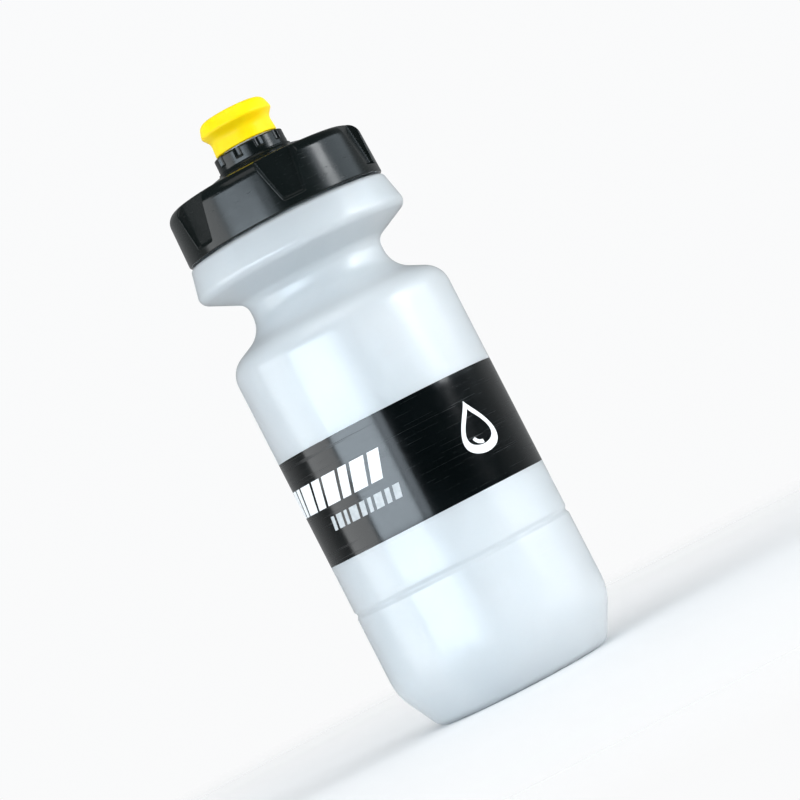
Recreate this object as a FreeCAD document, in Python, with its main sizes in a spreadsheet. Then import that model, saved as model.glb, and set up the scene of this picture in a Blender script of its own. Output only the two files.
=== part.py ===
import FreeCAD, Part

# A 600 ml squeeze bottle for a bicycle bottle cage: a blow-moulded body with a waist for the cage's catch,
# a printed wrap, a screw cap with finger scoops, and a push-pull drinking nozzle with its valve inside.
# The model is in millimetres, +Z up. The bottle's axis is the Z axis, its foot stands on Z = 0, and -Y is
# its front. The nozzle is pushed shut and the cap is screwed home.

import math
import os

import Sketcher
from FreeCAD import Placement, Rotation, Vector

# Driving dimensions. Names that end in _z are heights above the foot, and those in _angle are degrees.
SIZES = {
    # Bottle body: an even wall from the dished base to the neck's mouth.
    "wall": 1.2,
    "body_radius": 36.8,
    "dish_radius": 15.0,
    "dish_z": 4.5,
    "dish_round": 12.0,
    "foot_inner_radius": 23.5,
    "foot_inner_round": 2.0,
    "foot_radius": 29.0,
    "foot_round": 4.0,
    "taper_z": 14.5,
    "taper_round": 18.0,
    "crease_z": 42.2,
    "crease_width": 2.4,
    "crease_depth": 0.7,
    "crease_round": 0.9,
    "shoulder_z": 127.3,
    "shoulder_round": 8.0,
    "waist_radius": 22.9,
    "waist_low_z": 134.05,
    "waist_low_round": 9.0,
    "waist_high_z": 143.8,
    "waist_high_round": 4.0,
    "bulge_radius": 36.0,
    "bulge_z": 150.2,
    "bulge_round": 3.0,
    "ledge_radius": 33.5,
    "ledge_z": 161.2,
    "ledge_round": 1.6,
    "neck_radius": 27.0,
    "neck_round": 1.4,
    "neck_top_z": 175.8,
    # Printed wrap, let into the wall so that it lies flush.
    "band_low_z": 59.1,
    "band_high_z": 94.8,
    "film": 0.12,
    # One screw thread, cut as a ridge on the neck and a ridge in the cap that bears up under it.
    "lead": 6.0,
    "ridge_root": 2.6,
    "ridge_crest": 1.4,
    "ridge_height": 1.6,
    "flank_gap": 0.3,
    "neck_ridge_z": 165.9,
    "neck_ridge_turns": 1.25,
    "cap_ridge_turns": 1.0,
    # Cap: skirt, roof, seal ring, and the raised seat of the nozzle.
    "skirt_low_radius": 33.5,
    "skirt_radius": 33.0,
    "skirt_bore": 29.1,
    "skirt_low_z": 161.7,
    "skirt_round": 0.6,
    "roof_edge_z": 179.1,
    "roof_edge_round": 4.0,
    "roof_rise_radius": 20.0,
    "roof_rise_z": 180.7,
    "roof_rise_round": 16.0,
    "roof": 1.8,
    "flare_radius": 12.3,
    "flare_z": 182.7,
    "flare_round": 0.8,
    "seat_z": 183.4,
    "boss_radius": 10.2,
    "boss_bore": 9.5,
    "boss_z": 184.9,
    "well_z": 184.1,
    "gasket_seat_z": 177.45,
    "seal_ring_radius": 24.8,
    "seal_ring_wall": 1.3,
    "seal_ring_low_z": 173.2,
    # Turret that the nozzle slides on, with the bead that stops it.
    "turret_radius": 7.0,
    "turret_bore": 5.6,
    "turret_top_z": 194.4,
    "bead_radius": 7.35,
    "bead_low_z": 193.4,
    # Finger scoops round the cap: flat-floored notches with sloping sides, which lean in and widen upward.
    "scoop_count": 6,
    "scoop_floor_radius": 30.5,
    "scoop_floor_z": 174.8,
    "scoop_reach": 5.5,
    "scoop_low_z": 165.0,
    "scoop_high_z": 185.0,
    "scoop_low_half": 2.6,
    "scoop_high_half": 7.8,
    "scoop_side_angle": 35.0,
    "scoop_tilt_angle": 9.5,
    "scoop_turn_angle": 10.5,
    "scoop_edge_round": 0.4,
    # Gasket between the cap's roof and the neck's mouth.
    "gasket_bore": 25.1,
    "gasket_radius": 28.8,
    "gasket_low_z": 175.85,
    "gasket_high_z": 177.4,
    "gasket_round": 0.35,
    # Fluted collar pressed over the boss.
    "collar_radius": 11.75,
    "collar_high_z": 188.2,
    "collar_round": 0.6,
    "flute_count": 10,
    "flute_radius": 1.5,
    "flute_depth": 0.8,
    "flute_low_z": 185.1,
    # Valve plug: a hub pressed into the turret, webs, and the pin that shuts the nozzle's outlet.
    "hub_wall": 1.2,
    "hub_low_z": 180.6,
    "hub_high_z": 185.6,
    "web_count": 3,
    "web_width": 1.4,
    "pin_radius": 2.2,
    "pin_top_z": 196.9,
    "pin_round": 1.0,
    # Nozzle stem, which slides and turns on the turret.
    "stem_radius": 8.7,
    "stem_bore": 7.5,
    "stem_foot_radius": 9.2,
    "stem_foot_z": 184.7,
    "stem_foot_high_z": 185.7,
    "stem_top_z": 197.3,
    "stem_roof_z": 195.9,
    "lip_bore": 7.1,
    "groove_radius": 8.05,
    "groove_low_z": 185.0,
    "groove_high_z": 186.3,
    "stop_bore": 7.06,
    "stop_high_z": 187.3,
    "outlet_radius": 2.25,
    "key_radius": 9.2,
    "key_low_z": 192.7,
    "key_high_z": 193.9,
    # Seal ring in the stem's groove.
    "seal_radius": 7.525,
    "seal_section": 0.475,
    # Soft mouthpiece moulded over the stem.
    "mouth_low_z": 188.7,
    "mouth_foot_radius": 10.5,
    "mouth_foot_round": 0.5,
    "mouth_waist_radius": 10.1,
    "mouth_waist_z": 193.4,
    "mouth_waist_round": 3.0,
    "lip_radius": 12.1,
    "lip_low_z": 196.0,
    "lip_low_round": 1.2,
    "mouth_top_z": 200.4,
    "mouth_top_radius": 10.8,
    "lip_round": 2.9,
    "mouth_hole": 3.7,
    "mouth_hole_round": 1.0,
    "mouth_throat": 3.0,
}
SHEET = "Sizes"
SMALLEST_CUT = 1.0
SMALL = 0.1


class Size:
    """A length that knows its value and the spreadsheet expression that it comes from."""

    def __init__(self, value, text):
        self.value = value
        self.text = text

    def __add__(self, other):
        other = size(other)
        return Size(self.value + other.value, f"({self.text} + {other.text})")

    def __sub__(self, other):
        other = size(other)
        return Size(self.value - other.value, f"({self.text} - {other.text})")

    def __mul__(self, other):
        other = size(other)
        return Size(self.value * other.value, f"({self.text} * {other.text})")


def size(thing):
    """A Size from a cell's alias, a plain number or a Size."""
    if isinstance(thing, Size):
        return thing
    if isinstance(thing, str):
        return Size(SIZES[thing], f"{SHEET}.{thing}")
    return Size(float(thing), f"({thing:.6f})")


def make_sheet(doc):
    sheet = doc.addObject("Spreadsheet::Sheet", SHEET)
    for row, (alias, value) in enumerate(SIZES.items(), start=1):
        sheet.set(f"A{row}", alias)
        sheet.set(f"B{row}", str(value))
        sheet.setAlias(f"B{row}", alias)
    doc.recompute()


def make_body(doc, label):
    body = doc.addObject("PartDesign::Body", label)
    body.Label = label
    body.Placement = Placement()
    return body


def origin_part(body, role):
    """One of the body's own origin planes or axes, such as XZ_Plane or Z_Axis."""
    return next(feature for feature in body.Origin.OriginFeatures if feature.Role == role)


def bind(item, **expressions):
    """Binds an object's properties to the sheet."""
    for name, value in expressions.items():
        item.setExpression(name.replace("__", "."), size(value).text)


def direction(start, end):
    length = math.hypot(end[0] - start[0], end[1] - start[1])
    return (end[0] - start[0]) / length, (end[1] - start[1]) / length


def turn_at(before, corner, after):
    """The angle that a path turns by at a corner, to the left positive."""
    inward, outward = direction(before, corner), direction(corner, after)
    cross = inward[0] * outward[1] - inward[1] * outward[0]
    return math.atan2(cross, inward[0] * outward[0] + inward[1] * outward[1])


def rounded(before, corner, after, radius):
    """Where a rounded corner starts and ends, its arc's centre, and whether the path turns left there."""
    inward, outward = direction(before, corner), direction(corner, after)
    turn = turn_at(before, corner, after)
    reach = radius * math.tan(abs(turn) / 2)
    side = math.copysign(radius, turn)
    start = (corner[0] - inward[0] * reach, corner[1] - inward[1] * reach)
    end = (corner[0] + outward[0] * reach, corner[1] + outward[1] * reach)
    centre = (start[0] - side * inward[1], start[1] + side * inward[0])
    return start, end, centre, turn > 0


def attach(body, sketch, plane):
    sketch.AttachmentSupport = [(origin_part(body, plane), "")]
    sketch.MapMode = "FlatFace"


def add_point_place(constraints, named, point, place, name):
    """Holds a sketch point at a place of two sizes. A part of a place that is zero lies on a sketch axis."""
    for kind, axis, part, letter in (("DistanceX", -2, place[0], "x"), ("DistanceY", -1, place[1], "y")):
        if part.value == 0:
            constraints.append(Sketcher.Constraint("PointOnObject", *point, axis))
        else:
            constraints.append(Sketcher.Constraint(kind, -1, 1, *point, part.value))
            named.append((len(constraints) - 1, f"{letter}_{name}", part))


def outline_sketch(body, label, corners, plane="XZ_Plane"):
    """A closed sketch. Each corner is (x, y) or (x, y, rounding), as sizes; in the XZ plane y is the height.

    A rounded corner is an arc tangent to its two lines, and a construction point holds where they meet."""
    sketch = body.newObject("Sketcher::SketchObject", label)
    attach(body, sketch, plane)
    places = [(size(corner[0]), size(corner[1])) for corner in corners]
    rounds = [size(corner[2]) if len(corner) > 2 else None for corner in corners]
    flat = [(x.value, y.value) for x, y in places]
    count = len(flat)
    cuts = []
    for i, radius in enumerate(rounds):
        if radius is None:
            cuts.append((flat[i], flat[i], None, None))
        else:
            cuts.append(rounded(flat[i - 1], flat[i], flat[(i + 1) % count], radius.value))
    for i in range(count):
        start, end = cuts[i][1], cuts[(i + 1) % count][0]
        sketch.addGeometry(Part.LineSegment(Vector(*start, 0), Vector(*end, 0)))
    constraints, named = [], []
    for i, (start, end, centre, left) in enumerate(cuts):
        line_in = (i - 1) % count
        if centre is None:
            constraints.append(Sketcher.Constraint("Coincident", line_in, 2, i, 1))
            add_point_place(constraints, named, (i, 1), places[i], i)
            continue
        first, last = (start, end) if left else (end, start)
        angles = [math.atan2(point[1] - centre[1], point[0] - centre[0]) for point in (first, last)]
        circle = Part.Circle(Vector(*centre, 0), Vector(0, 0, 1), rounds[i].value)
        arc = sketch.addGeometry(Part.ArcOfCircle(circle, *angles))
        mark = sketch.addGeometry(Part.Point(Vector(*flat[i], 0)), True)
        arc_start, arc_end = (1, 2) if left else (2, 1)
        constraints += [
            Sketcher.Constraint("Tangent", line_in, 2, arc, arc_start),
            Sketcher.Constraint("Tangent", arc, arc_end, i, 1),
            Sketcher.Constraint("PointOnObject", mark, 1, line_in),
            Sketcher.Constraint("PointOnObject", mark, 1, i),
            Sketcher.Constraint("Radius", arc, rounds[i].value),
        ]
        named.append((len(constraints) - 1, f"round_{i}", rounds[i]))
        add_point_place(constraints, named, (mark, 1), places[i], i)
    finish_sketch(sketch, constraints, named)
    return sketch


def finish_sketch(sketch, constraints, named):
    """Adds the constraints, and binds the named ones to the sheet."""
    sketch.addConstraint(constraints)
    for index, name, value in named:
        sketch.renameConstraint(index, name)
        sketch.setExpression(f"Constraints.{name}", value.text)


def circle_sketch(body, label, plane, x, y, radius):
    """One circle, with its centre at x, y of the plane."""
    sketch = body.newObject("Sketcher::SketchObject", label)
    attach(body, sketch, plane)
    place, radius = (size(x), size(y)), size(radius)
    centre = Vector(place[0].value, place[1].value, 0)
    circle = sketch.addGeometry(Part.Circle(centre, Vector(0, 0, 1), radius.value))
    constraints = [Sketcher.Constraint("Radius", circle, radius.value)]
    named = [(0, "radius", radius)]
    add_point_place(constraints, named, (circle, 3), place, "centre")
    finish_sketch(sketch, constraints, named)
    return sketch


def inner_wall(chain, wall):
    """The wall's inner line, which runs beside an open chain of corners on its left.

    Each inner corner is its outer corner moved along the mitre, so it follows the sheet's wall."""
    flat = [(size(corner[0]).value, size(corner[1]).value) for corner in chain]
    inner = []
    for i, corner in enumerate(chain):
        before, here, after = flat[max(i - 1, 0)], flat[i], flat[min(i + 1, len(flat) - 1)]
        inward = direction(before, here) if i else direction(here, after)
        outward = direction(here, after) if i < len(flat) - 1 else inward
        normal = (-inward[1] - outward[1], inward[0] + outward[0])
        stretch = 2 / (normal[0] ** 2 + normal[1] ** 2)
        moved = [size(corner[axis]) + size(wall) * (normal[axis] * stretch) for axis in (0, 1)]
        if len(corner) > 2:
            sign = -1 if turn_at(before, here, after) > 0 else 1
            moved.append(size(corner[2]) + size(wall) * sign)
        inner.append(tuple(moved))
    return inner


def revolve(body, sketch, label, kind="Revolution"):
    """Turns a sketch of the XZ plane about the Z axis, to add or, as a Groove, to cut."""
    before = body.Shape.Volume if kind == "Groove" else 0
    feature = body.newObject(f"PartDesign::{kind}", label)
    feature.Profile = sketch
    feature.ReferenceAxis = (origin_part(body, "Z_Axis"), [""])
    feature.Angle = 360
    body.Document.recompute()
    if kind == "Groove":
        check_cut(body, before, label)
    return feature


def check_cut(body, before, label):
    if before - body.Shape.Volume < SMALLEST_CUT:
        raise RuntimeError(f"{label} cut nothing from {body.Label}")


def add_ridge(body, label, root, height, low_z, turns):
    """A screw ridge. Its section stands on the wall at the radius root; height is negative in a bore."""
    toward = math.copysign(1, size(height).value)
    sunk = size(root) - 0.3 * toward
    crest = size(root) + height
    half_root, half_crest = size("ridge_root") * 0.5, size("ridge_crest") * 0.5
    section = [
        (sunk, size(low_z) - half_root),
        (crest, size(low_z) - half_crest),
        (crest, size(low_z) + half_crest),
        (sunk, size(low_z) + half_root),
    ]
    sketch = outline_sketch(body, f"{label}Section", section)
    ridge = body.newObject("PartDesign::AdditiveHelix", label)
    ridge.Profile = sketch
    ridge.ReferenceAxis = (origin_part(body, "Z_Axis"), [""])
    ridge.Mode = "pitch-turns-angle"
    bind(ridge, Pitch="lead", Turns=turns)
    body.Document.recompute()


def pattern(body, feature, label, count):
    """Repeats a feature round the Z axis."""
    ring = body.newObject("PartDesign::PolarPattern", label)
    ring.Originals = [feature]
    ring.Axis = (origin_part(body, "Z_Axis"), [""])
    ring.Angle = 360
    bind(ring, Occurrences=count)
    body.Tip = ring
    body.Document.recompute()
    return ring


def make_bottle_body(doc):
    """The blow-moulded bottle, in one even wall: dished base, crease, waist, bulge and threaded neck."""
    body = make_body(doc, "bottle_body")
    half_crease = size("crease_width") * 0.5
    wall_line = [
        (0, "dish_z"),
        ("dish_radius", "dish_z", "dish_round"),
        ("foot_inner_radius", 0, "foot_inner_round"),
        ("foot_radius", 0, "foot_round"),
        ("body_radius", "taper_z", "taper_round"),
        ("body_radius", size("crease_z") - half_crease),
        (size("body_radius") - "crease_depth", "crease_z", "crease_round"),
        ("body_radius", size("crease_z") + half_crease),
        ("body_radius", "shoulder_z", "shoulder_round"),
        ("waist_radius", "waist_low_z", "waist_low_round"),
        ("waist_radius", "waist_high_z", "waist_high_round"),
        ("bulge_radius", "bulge_z", "bulge_round"),
        ("ledge_radius", "ledge_z", "ledge_round"),
        ("neck_radius", "ledge_z", "neck_round"),
        ("neck_radius", "neck_top_z"),
    ]
    profile = wall_line + inner_wall(wall_line, "wall")[::-1]
    revolve(body, outline_sketch(body, "BottleProfile", profile), "BottleWall")
    recess = [
        (size("body_radius") - "film", "band_low_z"),
        (size("body_radius") + 1, "band_low_z"),
        (size("body_radius") + 1, "band_high_z"),
        (size("body_radius") - "film", "band_high_z"),
    ]
    revolve(body, outline_sketch(body, "BandRecessProfile", recess), "BandRecess", "Groove")
    add_ridge(body, "NeckRidge", "neck_radius", size("ridge_height"), "neck_ridge_z", "neck_ridge_turns")
    return body


def make_print_band(doc):
    """The black printed wrap, a thin film in the body's recess."""
    body = make_body(doc, "print_band")
    film = [
        (size("body_radius") - "film", "band_low_z"),
        ("body_radius", "band_low_z"),
        ("body_radius", "band_high_z"),
        (size("body_radius") - "film", "band_high_z"),
    ]
    revolve(body, outline_sketch(body, "BandProfile", film), "BandFilm")
    return body


def make_cap_shell(doc):
    """The screw cap: skirt, roof, seal ring, boss and turret in one moulding, with finger scoops."""
    body = make_body(doc, "cap_shell")
    ring_bore = size("seal_ring_radius") - "seal_ring_wall"
    under_rise_z = size("roof_rise_z") - "roof"
    under_seat_z = size("flare_z") - "roof"
    profile = [
        ("skirt_bore", "skirt_low_z"),
        ("skirt_low_radius", "skirt_low_z", "skirt_round"),
        ("skirt_radius", "roof_edge_z", "roof_edge_round"),
        ("roof_rise_radius", "roof_rise_z", "roof_rise_round"),
        ("flare_radius", "flare_z", "flare_round"),
        ("flare_radius", "seat_z"),
        ("boss_radius", "seat_z"),
        ("boss_radius", "boss_z"),
        ("boss_bore", "boss_z"),
        ("boss_bore", "well_z"),
        ("turret_radius", "well_z"),
        ("turret_radius", "bead_low_z"),
        ("bead_radius", "bead_low_z"),
        ("bead_radius", "turret_top_z"),
        ("turret_bore", "turret_top_z"),
        ("turret_bore", under_seat_z),
        ("flare_radius", under_seat_z),
        ("roof_rise_radius", under_rise_z),
        (ring_bore, under_rise_z),
        (ring_bore, "seal_ring_low_z"),
        ("seal_ring_radius", "seal_ring_low_z"),
        ("seal_ring_radius", "gasket_seat_z"),
        ("skirt_bore", "gasket_seat_z"),
    ]
    revolve(body, outline_sketch(body, "CapProfile", profile), "CapWall")
    ridge_width = (size("ridge_root") + "ridge_crest") * 0.5
    cap_ridge_z = size("neck_ridge_z") - ridge_width - "flank_gap"
    add_ridge(body, "CapRidge", "skirt_bore", size("ridge_height") * -1, cap_ridge_z, "cap_ridge_turns")
    cut_scoops(body)
    return body


def cut_scoops(body):
    """The finger scoops, and their softened edges.

    The sizes are those of the flat floor. The cutting sketch stands off it by the reach, so it is wider all
    round by as much as the sloping sides spread over that reach."""
    before = body.Shape.Volume
    tilt = math.radians(SIZES["scoop_tilt_angle"])
    turn = math.radians(SIZES["scoop_turn_angle"])
    off_axis = size("scoop_floor_radius") + size("scoop_reach") * math.cos(tilt)
    spread = size("scoop_reach") * math.tan(math.radians(SIZES["scoop_side_angle"]))
    low = (size("scoop_low_z") - "scoop_floor_z") * (1 / math.cos(tilt)) - spread
    high = (size("scoop_high_z") - "scoop_floor_z") * (1 / math.cos(tilt)) + spread
    low_half = size("scoop_low_half") + spread
    high_half = size("scoop_high_half") + spread
    notch = [(low_half * -1, low), (low_half, low), (high_half, high), (high_half * -1, high)]
    sketch = outline_sketch(body, "ScoopOutline", notch)
    turned = Rotation(Vector(0, 1, 0), SIZES["scoop_turn_angle"])
    leaned = Rotation(Vector(1, 0, 0), -SIZES["scoop_tilt_angle"])
    sketch.AttachmentOffset = Placement(Vector(), turned.multiply(leaned))
    bind(
        sketch,
        AttachmentOffset__Base__x=off_axis * math.sin(turn),
        AttachmentOffset__Base__y=size("scoop_floor_z") + size("scoop_reach") * math.sin(tilt),
        AttachmentOffset__Base__z=off_axis * math.cos(turn),
    )
    scoop = body.newObject("PartDesign::Pocket", "Scoop")
    scoop.Profile = sketch
    bind(scoop, Length="scoop_reach", TaperAngle=size("scoop_side_angle") * -1)
    body.Document.recompute()
    check_cut(body, before, "Scoop")
    ring = pattern(body, scoop, "Scoops", "scoop_count")
    softened = body.newObject("PartDesign::Fillet", "ScoopEdges")
    softened.Base = (ring, scoop_edges(ring.Shape))
    bind(softened, Radius="scoop_edge_round")
    body.Tip = softened
    body.Document.recompute()


def scoop_edges(shape):
    """The names of the edges where a scoop's faces meet the cap's round outside."""
    names = []
    for number, edge in enumerate(shape.Edges, start=1):
        faces = shape.ancestorsOfType(edge, Part.Face)
        turned = [isinstance(face.Surface, (Part.Cone, Part.Toroid)) for face in faces]
        nearest = min(math.hypot(vertex.X, vertex.Y) for vertex in edge.Vertexes)
        outside = nearest > SIZES["skirt_bore"] + SMALL and edge.BoundBox.ZMin > SIZES["skirt_low_z"] + SMALL
        if outside and any(turned) and not all(turned):
            names.append(f"Edge{number}")
    return names


def make_cap_gasket(doc):
    """The silicone ring that the cap presses onto the neck's mouth."""
    body = make_body(doc, "cap_gasket")
    profile = [
        ("gasket_bore", "gasket_low_z", "gasket_round"),
        ("gasket_radius", "gasket_low_z", "gasket_round"),
        ("gasket_radius", "gasket_high_z", "gasket_round"),
        ("gasket_bore", "gasket_high_z", "gasket_round"),
    ]
    revolve(body, outline_sketch(body, "GasketProfile", profile), "GasketRing")
    return body


def make_nozzle_collar(doc):
    """The fluted ring pressed over the boss, which frames the nozzle's foot."""
    body = make_body(doc, "nozzle_collar")
    profile = [
        ("boss_radius", "seat_z"),
        ("collar_radius", "seat_z"),
        ("collar_radius", "collar_high_z", "collar_round"),
        ("boss_radius", "collar_high_z", "collar_round"),
    ]
    revolve(body, outline_sketch(body, "CollarProfile", profile), "CollarRing")
    before = body.Shape.Volume
    centre_x = size("collar_radius") + "flute_radius" - "flute_depth"
    flute = body.newObject("PartDesign::SubtractiveCylinder", "Flute")
    attach(body, flute, "XY_Plane")
    bind(
        flute,
        Radius="flute_radius",
        Height=size("collar_high_z") - "flute_low_z" + 1,
        AttachmentOffset__Base__x=centre_x,
        AttachmentOffset__Base__z="flute_low_z",
    )
    body.Document.recompute()
    pattern(body, flute, "Flutes", "flute_count")
    check_cut(body, before, "Flutes")
    return body


def make_valve_plug(doc):
    """The insert in the turret: a hub, webs that water passes between, and the pin that shuts the outlet."""
    body = make_body(doc, "valve_plug")
    hub_bore = size("turret_bore") - "hub_wall"
    pin = [
        (0, "hub_low_z"),
        ("pin_radius", "hub_low_z"),
        ("pin_radius", "pin_top_z", "pin_round"),
        (0, "pin_top_z"),
    ]
    revolve(body, outline_sketch(body, "PinProfile", pin), "Pin")
    half_web = size("web_width") * 0.5
    web = [
        (0, half_web * -1),
        (hub_bore + size("hub_wall") * 0.5, half_web * -1),
        (hub_bore + size("hub_wall") * 0.5, half_web),
        (0, half_web),
    ]
    sketch = outline_sketch(body, "WebOutline", web, "XY_Plane")
    sketch.setExpression("AttachmentOffset.Base.z", size("hub_low_z").text)
    pad = body.newObject("PartDesign::Pad", "Web")
    pad.Profile = sketch
    bind(pad, Length=size("hub_high_z") - "hub_low_z")
    body.Document.recompute()
    pattern(body, pad, "Webs", "web_count")
    hub = [
        (hub_bore, "hub_low_z"),
        ("turret_bore", "hub_low_z"),
        ("turret_bore", "hub_high_z"),
        (hub_bore, "hub_high_z"),
    ]
    body.Tip = revolve(body, outline_sketch(body, "HubProfile", hub), "Hub")
    return body


def make_nozzle_stem(doc):
    """The hard sleeve that slides on the turret, with its stop, seal groove and outlet."""
    body = make_body(doc, "nozzle_stem")
    profile = [
        ("lip_bore", "stem_foot_z"),
        ("stem_foot_radius", "stem_foot_z"),
        ("stem_foot_radius", "stem_foot_high_z"),
        ("stem_radius", "stem_foot_high_z"),
        ("stem_radius", "key_low_z"),
        ("key_radius", "key_low_z"),
        ("key_radius", "key_high_z"),
        ("stem_radius", "key_high_z"),
        ("stem_radius", "stem_top_z"),
        ("outlet_radius", "stem_top_z"),
        ("outlet_radius", "stem_roof_z"),
        ("stem_bore", "stem_roof_z"),
        ("stem_bore", "stop_high_z"),
        ("stop_bore", "stop_high_z"),
        ("stop_bore", "groove_high_z"),
        ("groove_radius", "groove_high_z"),
        ("groove_radius", "groove_low_z"),
        ("lip_bore", "groove_low_z"),
    ]
    revolve(body, outline_sketch(body, "StemProfile", profile), "StemSleeve")
    return body


def make_mouthpiece(doc):
    """The soft mouthpiece over the stem, keyed to it by a ridge, with a wide lip to pull it by."""
    body = make_body(doc, "mouthpiece")
    profile = [
        ("stem_radius", "mouth_low_z"),
        ("mouth_foot_radius", "mouth_low_z", "mouth_foot_round"),
        ("mouth_waist_radius", "mouth_waist_z", "mouth_waist_round"),
        ("lip_radius", "lip_low_z", "lip_low_round"),
        ("mouth_top_radius", "mouth_top_z", "lip_round"),
        ("mouth_hole", "mouth_top_z", "mouth_hole_round"),
        ("mouth_throat", "stem_top_z"),
        ("stem_radius", "stem_top_z"),
        ("stem_radius", "key_high_z"),
        ("key_radius", "key_high_z"),
        ("key_radius", "key_low_z"),
        ("stem_radius", "key_low_z"),
    ]
    revolve(body, outline_sketch(body, "MouthpieceProfile", profile), "MouthpieceWall")
    return body


def make_nozzle_seal(doc):
    """The O-ring in the stem's groove, which slides on the turret."""
    body = make_body(doc, "nozzle_seal")
    middle_z = (size("groove_low_z") + "groove_high_z") * 0.5
    section = circle_sketch(body, "SealSection", "XZ_Plane", "seal_radius", middle_z, "seal_section")
    revolve(body, section, "SealRing")
    return body


def check_document(doc, bodies):
    """Stops on a failed feature, or on a piece that isn't one valid solid."""
    doc.recompute()
    failed = [item.Name for item in doc.Objects if {"Invalid", "Error"} & set(item.State)]
    if failed:
        raise RuntimeError(f"failed features: {failed}")
    for body in bodies:
        shape = body.Shape
        if shape.isNull() or not shape.isValid() or len(shape.Solids) != 1:
            raise RuntimeError(f"{body.Label} isn't one valid solid")


def main():
    doc = FreeCAD.newDocument("water_bottle")
    make_sheet(doc)
    makers = [
        make_bottle_body,
        make_print_band,
        make_cap_shell,
        make_cap_gasket,
        make_nozzle_collar,
        make_valve_plug,
        make_nozzle_stem,
        make_mouthpiece,
        make_nozzle_seal,
    ]
    bodies = [make(doc) for make in makers]
    check_document(doc, bodies)
    os.makedirs("parts", exist_ok=True)
    for body in bodies:
        body.Shape.exportStep(f"parts/{body.Label}.step")
        box = body.Shape.BoundBox
        heights = f"z {box.ZMin:.2f} to {box.ZMax:.2f}"
        print(f"{body.Label}: {body.Shape.Volume:.0f} mm3, {heights}")


main()
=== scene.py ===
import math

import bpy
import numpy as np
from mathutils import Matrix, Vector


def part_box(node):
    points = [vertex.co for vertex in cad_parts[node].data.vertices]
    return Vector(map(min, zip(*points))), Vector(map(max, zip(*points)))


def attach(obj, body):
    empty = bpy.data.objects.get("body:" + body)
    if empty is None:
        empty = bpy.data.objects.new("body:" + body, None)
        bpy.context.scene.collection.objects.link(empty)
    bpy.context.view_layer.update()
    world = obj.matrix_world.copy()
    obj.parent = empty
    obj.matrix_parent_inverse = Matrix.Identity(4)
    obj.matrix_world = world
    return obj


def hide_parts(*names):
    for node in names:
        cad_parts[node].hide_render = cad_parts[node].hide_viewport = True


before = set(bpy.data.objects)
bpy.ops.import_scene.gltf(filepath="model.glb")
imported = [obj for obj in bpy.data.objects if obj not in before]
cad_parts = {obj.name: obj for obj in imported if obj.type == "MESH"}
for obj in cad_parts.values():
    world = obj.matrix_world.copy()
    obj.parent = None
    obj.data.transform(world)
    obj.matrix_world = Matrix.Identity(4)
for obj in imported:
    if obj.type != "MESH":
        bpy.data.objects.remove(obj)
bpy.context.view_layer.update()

# A squeeze bottle for a bicycle bottle cage, standing on a pale studio floor. It has a frosted body, a glossy
# black printed wrap with generic white marks, a glossy black screw cap with finger scoops, and a yellow
# push-pull nozzle. Its axis is +Z and its front is -Y. The pieces are worked out in millimetres, and
# make_object turns them into the frame's metres. The camera, the lights and the floor are in metres.

MM = 0.001


# -------------------------------------------------------------------------------------------- sizes

def node_sizes(node):
    """A round node's largest radius and its lowest and highest points, in millimetres."""
    low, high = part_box(node)
    return (high.x - low.x) / 2 / MM, low.z / MM, high.z / MM


BODY_R, FOOT_Z, NECK_TOP_Z = node_sizes("bottle_body")
BAND_R, BAND_LOW_Z, BAND_HIGH_Z = node_sizes("print_band")
SKIRT_LOW_Z, TURRET_TOP_Z = node_sizes("cap_shell")[1:]
COLLAR_R, SEAT_Z, COLLAR_TOP_Z = node_sizes("nozzle_collar")
MOUTH_LOW_Z, MOUTH_TOP_Z = node_sizes("mouthpiece")[1:]
STEM_TOP_Z = node_sizes("nozzle_stem")[2]

WALL = 1.2
FILM = 0.12
INK = 0.04

# The body, up from the dished base.
DISH_R, DISH_Z = 15.0, 4.5
FOOT_INNER_R, FOOT_OUTER_R = 23.5, 29.0
TAPER_Z = 14.5
CREASE_Z, CREASE_HALF, CREASE_DEPTH = 42.2, 1.2, 0.7
SHOULDER_Z = 127.3
WAIST_R, WAIST_LOW_Z, WAIST_HIGH_Z = 22.9, 134.05, 143.8
BULGE_R, BULGE_Z = 36.0, 150.2
LEDGE_R, LEDGE_Z = 33.5, SKIRT_LOW_Z - 0.5
NECK_R = 27.0

# The cap, up its outside and down its inside.
SKIRT_LOW_R = 33.5
ROOF_EDGE_R, ROOF_EDGE_Z = 33.0, 179.1
ROOF_RISE_R, ROOF_RISE_Z = 20.0, 180.7
FLARE_R, FLARE_Z = 12.3, 182.7
BOSS_R, BOSS_Z = 10.2, 184.9
WELL_R, WELL_Z = 9.5, 184.1
TURRET_R, TURRET_BORE = 7.0, 5.6
BEAD_R = TURRET_R + 0.35
BEAD_LOW_Z, BEAD_FULL_Z = TURRET_TOP_Z - 1.0, TURRET_TOP_Z - 0.8
FLARE_CEILING_Z, ROOF_CEILING_Z = 180.9, 178.9
SEAL_RING_IN, SEAL_RING_OUT, SEAL_RING_LOW_Z = 23.5, 24.8, 173.2
GASKET_SEAT_Z = NECK_TOP_Z + 1.65
SKIRT_BORE = 29.1

# The mouthpiece, up its outside and down its inside, where a key holds it on the stem.
STEM_R = 8.7
MOUTH_LOW_R = 10.5
MOUTH_WAIST_R, MOUTH_WAIST_Z = 10.1, 193.4
LIP_R, LIP_Z = 12.1, 196.0
MOUTH_TOP_R = 10.8
HOLE_TOP_R, HOLE_LOW_R = 3.7, 3.0
KEY_R, KEY_LOW_Z, KEY_HIGH_Z = 9.2, 192.7, 193.9

# How many columns each turned mesh has.
BODY_COLUMNS = 240
CAP_COLUMNS = 900
COLLAR_COLUMNS = 480
MOUTH_COLUMNS = 192

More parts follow.
